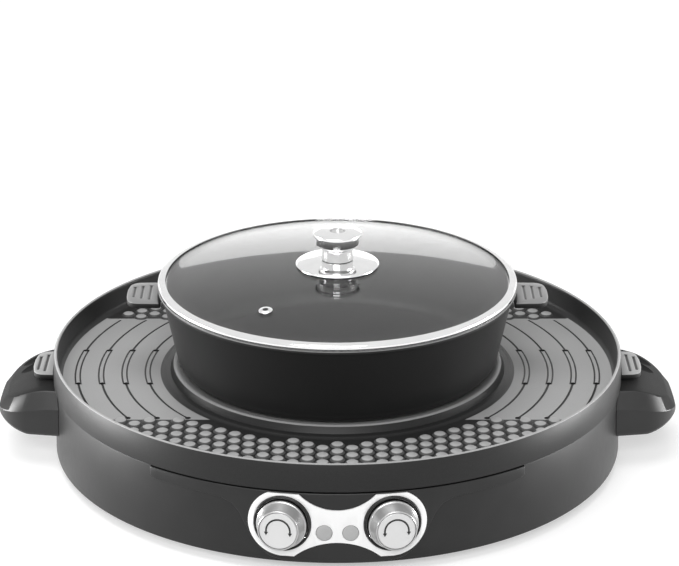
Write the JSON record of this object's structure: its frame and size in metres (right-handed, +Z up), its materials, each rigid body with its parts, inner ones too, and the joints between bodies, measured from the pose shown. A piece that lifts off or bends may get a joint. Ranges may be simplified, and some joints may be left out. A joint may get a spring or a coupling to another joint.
{
  "type": "hot pot grill combo",
  "caption": "Round electric countertop cooker: heated grill pan on a housing with side handles and knobs, with a lidded hot pot standing in the pan.",
  "frame": {"origin": "on the table plane, at the middle of the outline seen from above, on the axis of the round body", "axes": "+Z up, -Y towards the front with the knobs, X along the line through the two side handles"},
  "size_m": [0.5396, 0.4878, 0.1824],
  "materials": {
    "glossy_black": "glossy",
    "satin_black": "satin",
    "tray_coating": "satin",
    "cast_coating": "fine-grained non-stick coating",
    "rubber": "matte",
    "steel": "polished",
    "ceramic": "satin",
    "silver_plastic": "satin",
    "lens_grey": "satin",
    "glass": "clear, smoked"
  },
  "bodies": {
    "base": {"base_housing": "glossy_black", "handle_left": "glossy_black", "handle_right": "glossy_black", "bottom_cover": "satin_black", "centre_plinth": "satin_black", "right_plinth": "satin_black", "control_box": "satin_black", "knob_bezel_left": "satin_black", "knob_bezel_right": "satin_black", "power_inlet": "satin_black", "inner_tray": "tray_coating", "foot_1": "rubber", "foot_2": "rubber", "foot_3": "rubber", "foot_4": "rubber", "tray_screw_1": "steel", "tray_screw_2": "steel", "tray_screw_3": "steel", "tray_screw_4": "steel", "centre_line_sleeve": "steel", "centre_earth_sleeve": "steel", "centre_neutral_sleeve": "steel", "right_line_sleeve": "steel", "right_earth_sleeve": "steel", "right_neutral_sleeve": "steel", "centre_sensor_spring": "steel", "right_sensor_spring": "steel", "centre_socket_body": "ceramic", "right_socket_body": "ceramic", "thermostat_left": "ceramic", "thermostat_right": "ceramic", "front_plate": "silver_plastic", "lamp_lens_left": "lens_grey", "lamp_lens_right": "lens_grey", "lamp_left": "glass", "lamp_right": "glass"},
    "left_knob": {"knob_left": "silver_plastic", "knob_face_left": "silver_plastic", "control_shaft_left": "steel"},
    "right_knob": {"knob_right": "silver_plastic", "knob_face_right": "silver_plastic", "control_shaft_right": "steel"},
    "centre_sensor": {"centre_sensor_tab": "steel"},
    "right_sensor": {"right_sensor_tab": "steel"},
    "grill_pan": {"grill_pan": "cast_coating", "outer_element": "steel", "inner_element": "steel", "outer_earth_pin": "steel", "inner_earth_pin": "steel"},
    "pot": {"pot": "cast_coating"},
    "lid": {"lid_glass": "glass", "lid_band": "steel", "vent_eyelet": "steel", "knob_flange": "steel", "lid_knob": "steel", "lid_knob_cap": "steel", "lid_washer": "rubber", "lid_screw": "steel"}
  },
  "joints": [
    {"name": "grill_lift", "type": "slide", "parent": "base", "child": "grill_pan", "axis": [0, 0, 1], "range_m": [0, 0.0928]},
    {"name": "pot_lift", "type": "slide", "parent": "grill_pan", "child": "pot", "axis": [0, 0, 1], "range_m": [0, 0.087]},
    {"name": "lid_lift", "type": "slide", "parent": "pot", "child": "lid", "axis": [0, 0, 1], "range_m": [0, 0.03]},
    {"name": "left_knob_turn", "type": "hinge", "parent": "base", "child": "left_knob", "pos_m": [-0.0396, -0.2247, 0.0406], "axis": [-0.1731, -0.9824, 0.0698], "range_deg": [-270, 0]},
    {"name": "right_knob_turn", "type": "hinge", "parent": "base", "child": "right_knob", "pos_m": [0.0396, -0.2247, 0.0406], "axis": [0.1731, -0.9824, 0.0698], "range_deg": [-270, 0]},
    {"name": "centre_sensor_press", "type": "slide", "parent": "base", "child": "centre_sensor", "axis": [0, 0, 1], "range_m": [-0.003, 0], "stiffness_N_per_m": 500, "deforming": ["centre_sensor_spring"]},
    {"name": "right_sensor_press", "type": "slide", "parent": "base", "child": "right_sensor", "axis": [0, 0, 1], "range_m": [-0.003, 0], "stiffness_N_per_m": 500, "deforming": ["right_sensor_spring"]}
  ]
}
